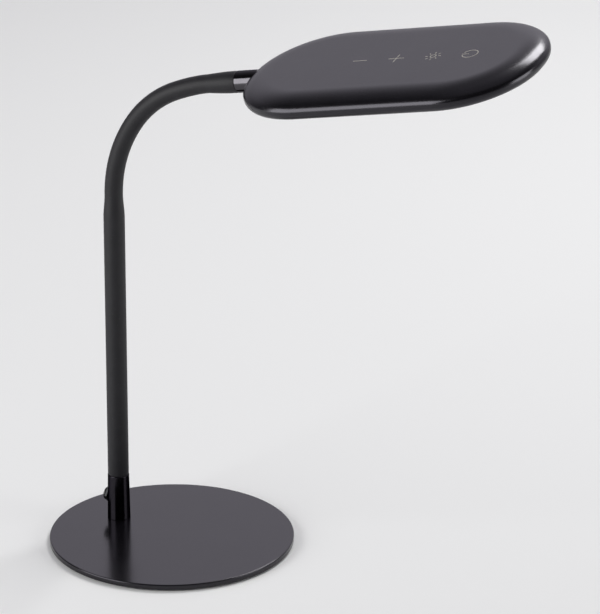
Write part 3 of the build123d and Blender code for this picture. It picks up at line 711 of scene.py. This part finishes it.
def screwRods(name, radius, low, high):
    return joined([rod(name, radius, low, high, x, y, steps=32) for x, y in headScrewPlaces()])


def roundedForm(name, inset, lowest):
    reach, rise = head["rim"] - inset, head["top"] - inset - head["belt"]
    levels = [(inset, lowest)] + quarter(inset, head["belt"], reach, rise, 22)
    return layered(name, head, levels)


def makeTopShell(plastic, iconCuts):
    levels = [(0, head["parting"]), (0, head["parting"] + head["seam"])]
    levels += quarter(0, head["belt"], head["rim"], head["top"] - head["belt"], 22)
    shell = layered("headTopShell", head, levels)
    cavity = roundedForm("cavity", head["wall"], head["parting"] - 0.5)
    half, beyond = head["blockHalf"], head["beyond"]
    keep = [block("noseBlock", (-2, -half, 0), (head["blockEnd"], half, beyond)),
            screwRods("bosses", headScrew["boss"], 0, beyond)]
    spots = [(panelPlan(0)["middle"] + x * posts["spacingX"] / 2, y * posts["spacingY"] / 2)
             for x in (1, -1) for y in (1, -1)]
    keep.append(joined([rod("post", posts["radius"], head["plateTop"], beyond, x, y, steps=32)
                        for x, y in spots]))
    spots = [(posts["boardMiddle"] + x * posts["boardX"], y * posts["boardY"])
             for x in (1, -1) for y in (1, -1)]
    keep.append(joined([rod("boardPost", posts["boardRadius"], posts["boardTop"], beyond, x, y, steps=32)
                        for x, y in spots]))
    for tool in keep:
        cutWith(cavity, tool)
    cutWith(shell, cavity)
    lower = block("lowerBlock", (head["recessDepth"], -half, head["floor"]),
                  (head["blockEnd"], half, head["belt"]))
    cutWith(shell, lower, "UNION")
    cutWith(shell, screwRods("bossFeet", headScrew["boss"], head["floor"], head["belt"]), "UNION")
    cutWith(shell, alongNose("recess", head["recess"], -8, head["recessDepth"]))
    cutWith(shell, alongNose("shaftHole", head["shaftHole"], 0, 30))
    cutWith(shell, screwRods("screwHoles", headScrew["hole"], 0, headScrew["length"] + 0.15))
    cutWith(shell, iconCuts)
    placeAt(shell, headPlace)
    smooth(shell)
    finishPiece(shell, plastic, "head", ["head_top_shell"])


def makeCover(plastic):
    under = head["underRound"]
    levels = [(0, head["parting"])] + quarter(0, under, under, -under, 12)
    cover = layered("headBottomCover", head, levels)
    lip = layered("lip", head, [(head["lipInset"], head["floor"] + 1), (head["lipInset"], head["lipTop"])])
    half = head["blockHalf"] + 0.3
    cutWith(lip, block("lipGap", (-5, -half, head["parting"]), (head["lipGap"], half, head["beyond"])))
    cutWith(cover, lip, "UNION")
    turnIn = head["innerRound"]
    hollow = [(head["coverWall"], head["lipTop"] + 1)]
    hollow += quarter(head["coverWall"], head["floor"] + turnIn, turnIn, -turnIn, 6)
    cutWith(cover, layered("hollow", head, hollow))
    edge = window["edge"]
    cutWith(cover, layered("windowTool", panelPlan(-edge), [(0, -0.05), (edge, edge), (edge, 4)]))
    ledge = window["ledge"]
    cutWith(cover, layered("ledgeTool", panelPlan(-ledge), [(0, window["ledgeHeight"]), (0, 4)]))
    cutWith(cover, alongNose("recess", head["recess"], -8, head["recessDepth"]))
    cutWith(cover, alongNose("nutRoom", head["nutRoom"], head["nutStart"], head["nutEnd"]))
    cutWith(cover, screwRods("clearHoles", headScrew["clearHole"], -1, 4))
    cutWith(cover, screwRods("sinks", headScrew["sink"], -1, headScrew["depth"]))
    placeAt(cover, headPlace)
    smooth(cover)
    finishPiece(cover, plastic, "head", ["head_bottom_cover"])


def makeDiffuser(opal):
    low = window["ledgeHeight"]
    levels = [(0, low), (0, low + window["thickness"] - 0.15), (0.15, low + window["thickness"])]
    piece = layered("opalDiffuser", panelPlan(window["fit"] - window["ledge"]), levels)
    placeAt(piece, headPlace)
    smooth(piece)
    finishPiece(piece, opal, "head", ["diffuser"])


icon = {"size": 12.0, "minus": 10.8, "line": 0.8, "sunk": 0.3, "proud": 0.045, "edge": 0.035, "pitch": 28.5,
        "first": 88.0, "sun": 4.9, "rays": 8, "ray": 2.0, "gap": 3.4, "bar": 5.5}


def strip(name, low, high):
    return block(name, (*low, head["top"] - icon["sunk"]), (*high, head["top"] + icon["proud"]))


def ringBand(name, outer, start, turn, steps):
    deselectAll()
    low, high = head["top"] - icon["sunk"], head["top"] + icon["proud"]
    bpy.ops.mesh.primitive_plane_add(size=1, rotation=(math.pi / 2, 0, 0),
                                     location=((outer - icon["line"] / 2) * mm, 0, (low + high) / 2 * mm))
    piece = nameIt(name)
    piece.scale = (icon["line"] * mm, (high - low) * mm, 1)
    bpy.ops.object.transform_apply(location=True, rotation=True, scale=True)
    placeAt(piece, Matrix.Rotation(start, 4, "Z"))
    bpy.ops.object.mode_set(mode="EDIT")
    bpy.ops.mesh.select_all(action="SELECT")
    bpy.ops.mesh.spin(steps=steps, angle=turn, center=(0, 0, 0), axis=(0, 0, -1))
    closeMesh()
    return piece


def minusSign():
    half = icon["minus"] / 2
    return [strip("iconMinus", (-half, -icon["line"] / 2), (half, icon["line"] / 2))]


def plusSign():
    half, line = icon["size"] / 2, icon["line"] / 2
    long = strip("iconPlus", (-half, -line), (half, line))
    cutWith(long, strip("plusBar", (-line, -half), (line, half)), "UNION")
    return [long]


def sunSign():
    signs = [ringBand("iconMode", icon["sun"] / 2, 0, fullTurn, 48)]
    reach = icon["size"] / 2
    for ray in range(icon["rays"]):
        bar = strip("ray", (reach - icon["ray"], -icon["line"] / 2), (reach, icon["line"] / 2))
        placeAt(bar, Matrix.Rotation(fullTurn * ray / icon["rays"], 4, "Z"))
        signs.append(bar)
    return signs


def powerSign():
    half = icon["size"] / 2
    gap = math.asin(icon["gap"] / 2 / (half - icon["line"] / 2))
    ring = ringBand("iconPower", half, math.pi + gap, fullTurn - 2 * gap, 56)
    reach = half + icon["line"] / 2
    return [ring, strip("powerBar", (-reach, -icon["line"] / 2), (icon["bar"] - reach, icon["line"] / 2))]


def makeIcons(paleInk):
    cuts = []
    for place, (makeSign, node) in enumerate(((minusSign, "icon_minus"), (plusSign, "icon_plus"),
                                              (sunSign, "icon_mode"), (powerSign, "icon_power"))):
        parts = makeSign()
        piece = joined(parts) if len(parts) > 1 else parts[0]
        placeAt(piece, Matrix.Translation(((icon["first"] + icon["pitch"] * place) * mm, 0, 0)))
        cut = piece.copy()
        cut.data = piece.data.copy()
        scene.collection.objects.link(cut)
        cuts.append(cut)
        applyChange(piece, "BEVEL", width=icon["edge"] * mm, segments=2, limit_method="ANGLE")
        placeAt(piece, headPlace)
        smooth(piece)
        finishPiece(piece, paleInk, "head", [node])
    return joined(cuts)


studio = {"floorColour": (0.86, 0.865, 0.855), "floorSize": 14.0}


def makeFloor():
    deselectAll()
    bpy.ops.mesh.primitive_plane_add(size=studio["floorSize"], location=(0, 0, 0))
    floor = nameIt("floor")

    def build(paint):
        return {"Base Color": paint.blend(paint.noise(400.0), studio["floorColour"], studio["floorColour"]),
                "Roughness": 0.8}
    floor.data.materials.append(surface("paleFloor", {"Specular IOR Level": 0.1}, build))


# the room as it shows in the finishes: a pale wall behind, a dim ceiling and little in front
room = {"wallAzimuth": 105.0, "turnDark": 0.54, "turnPale": 0.97, "dark": 0.05, "seen": 0.93,
        "tint": (0.985, 0.950, 1.060), "ceiling": [(0.86, 0.0), (0.97, 0.26)],
        "wall": [(0.50, 0.50), (0.62, 0.58), (0.71, 0.95), (0.78, 0.66), (0.90, 0.30)]}


def makeWorld():
    world = bpy.data.worlds.new("studio")
    scene.world = world
    paint = Paint(world)
    direction = paint.node("ShaderNodeTexCoord", output="Generated")
    height = paint.node("ShaderNodeSeparateXYZ", {}, {0: direction}, output=2) * 0.5 + 0.5

    def levels(name):
        stops = [(place, tuple(level * part for part in room["tint"])) for place, level in room[name]]
        return paint.node("ShaderNodeValToRGB", {"stops": stops}, {0: height})
    azimuth = math.radians(room["wallAzimuth"])
    facing = paint.node("ShaderNodeVectorMath", {"operation": "DOT_PRODUCT"},
                        {0: direction, 1: (math.cos(azimuth), math.sin(azimuth), 0)}, output=1)
    side = paint.ramp(facing * 0.5 + 0.5, room["turnDark"], room["turnPale"])
    glow = paint.blend(side, (room["dark"],) * 3, levels("wall"))
    glow = paint.node("ShaderNodeVectorMath", {"operation": "ADD"}, {0: glow, 1: levels("ceiling")})
    seen = paint.node("ShaderNodeLightPath", output="Is Camera Ray")
    paint.feed(paint.tree.nodes["Background"].inputs["Color"], paint.blend(seen, glow, (room["seen"],) * 3))


# soft lamps: azimuth and elevation they shine from, distance, width, height and brightness
lamps = {"keyBehind": (83, 47, 2.35, 0.92, 0.92, 11.0), "frontLeft": (-128, 15, 2.2, 1.90, 1.55, 5.0),
         "sideRight": (12.5, 10, 2.4, 1.25, 1.15, 4.4)}


def makeLamps():
    aim = Vector((0.03, 0, 0.2))
    for name, (azimuth, elevation, distance, wide, high, level) in lamps.items():
        around, above = math.radians(azimuth), math.radians(elevation)
        toLamp = Vector((math.cos(above) * math.cos(around), math.cos(above) * math.sin(around),
                         math.sin(above)))
        data = bpy.data.lights.new(name, "AREA")
        data.shape, data.size, data.size_y = "RECTANGLE", wide, high
        data.energy = level * math.pi * wide * high  # watts for this radiance
        lamp = bpy.data.objects.new(name, data)
        scene.collection.objects.link(lamp)
        lamp.location = aim + toLamp * distance
        lamp.rotation_euler = toLamp.to_track_quat("Z", "Y").to_euler()
        lamp.visible_camera = False


makeFloor()
makeWorld()
makeLamps()
print("stage and light are set")

plastic = mouldedPlastic("shellPlastic", mouldedLook)
coverLook = {**mouldedLook, "rough": 0.34, "grain": 0.6, "grainDepth": 0.005}
coverPlastic = mouldedPlastic("coverPlastic", coverLook)
coat = powderCoat("powderCoat", coatLook)
rubber = plainFinish("padRubber", (0.02, 0.02, 0.021), 0.75, size=0.8, depth=0.03)
sleeveRubber = silicone("sleeveSilicone", siliconeLook)
collarLook = {"colour": (0.026, 0.024, 0.029), "light": (0.036, 0.033, 0.040), "rough": 0.17, "mark": 0.25,
              "depth": 0.0008, "edge": 0.3}
collarMetal = turnedMetal("collarMetal", collarLook, centre=stemMiddle)
ferruleLook = {"colour": (0.066, 0.063, 0.069), "light": (0.084, 0.081, 0.088), "rough": 0.12, "mark": 0.3,
               "depth": 0.0008, "edge": 0.5}
ferruleMetal = turnedMetal("ferruleMetal", ferruleLook, centre=nose, along=noseAxis)
jackPlastic = plainFinish("jackPlastic", (0.005, 0.005, 0.006), 0.35, size=0.4)
jackMetal = plainFinish("jackMetal", (0.012, 0.012, 0.014), 0.3, metal=0.6, size=0.3)
opal = plainFinish("diffuserOpal", (0.8, 0.8, 0.78), 0.4, size=0.5, shade=0.96)
iconPrint = plainFinish("iconPrint", (0.37, 0.35, 0.31), 0.5, size=0.25, shade=0.85)

# finishes of the inner parts whose CAD shape stays: colour, roughness, metal, grain size and nodes
innerParts = {
    "blackOxide": ((0.05, 0.05, 0.055), 0.38, 1.0, 0.3, ["collar_grub_screw"]),
    "contactBrass": ((0.72, 0.58, 0.32), 0.28, 1.0, 0.3, ["dc_jack_pin", "dc_jack_terminals"]),
    "drawnSteel": ((0.42, 0.41, 0.40), 0.36, 1.0, 0.5, ["stem_tube"]),
    "woundSteel": ((0.33, 0.32, 0.32), 0.42, 1.0, 0.6, ["stem_core",
                                                        *(f"neck_core_{n}" for n in range(1, 8))]),
    "leadCover": ((0.02, 0.02, 0.021), 0.55, 0.0, 0.5, ["stem_lead", "head_lead",
                                                        *(f"neck_lead_{n}" for n in range(1, 8))]),
    "clearAcrylic": ((0.78, 0.82, 0.84), 0.12, 0.0, 4.0, ["light_guide"]),
    "whiteFilm": ((0.86, 0.86, 0.86), 0.5, 0.0, 2.0, ["reflector"]),
    "rolledAluminium": ((0.72, 0.72, 0.73), 0.3, 1.0, 0.8, ["back_plate"]),
    "whiteLaminate": ((0.8, 0.8, 0.78), 0.5, 0.0, 0.7, ["led_strips"]),
    "ledPhosphor": ((0.85, 0.70, 0.20), 0.35, 0.0, 0.3, ["leds"]),
    "greenLaminate": ((0.03, 0.16, 0.06), 0.4, 0.0, 0.8, ["control_board"]),
    "chipPlastic": ((0.015, 0.015, 0.016), 0.5, 0.0, 0.3, ["board_parts"]),
    "zincSteel": ((0.55, 0.55, 0.57), 0.32, 1.0, 0.4, ["head_screws"]),
    "brightSteel": ((0.6, 0.6, 0.61), 0.28, 1.0, 0.3, ["base_screw", "swivel_washer", "swivel_nut",
                                                      "board_screws", "touch_springs"])}


def finishInnerParts():
    for name, (colour, rough, metal, size, shown) in innerParts.items():
        material = plainFinish(name, colour, rough, metal, size)
        for node in shown:
            for place in nodes[node].material_slots:
                place.material = material


makeBase(coat, rubber)
makeCollar(collarMetal)
makeJack(jackPlastic, jackMetal)
print("base, collar and inlet are made")
makeStemSleeve(sleeveRubber)
for number in range(1, len(hinges) + 1):
    sleeveAround(number, sleeveRubber)
makeLip(sleeveRubber)
makeFerrule(ferruleMetal)
print("neck is made")
makeTopShell(plastic, makeIcons(iconPrint))
makeCover(coverPlastic)
makeDiffuser(opal)
finishInnerParts()
print("head is made")

scene.view_settings.view_transform = "Standard"
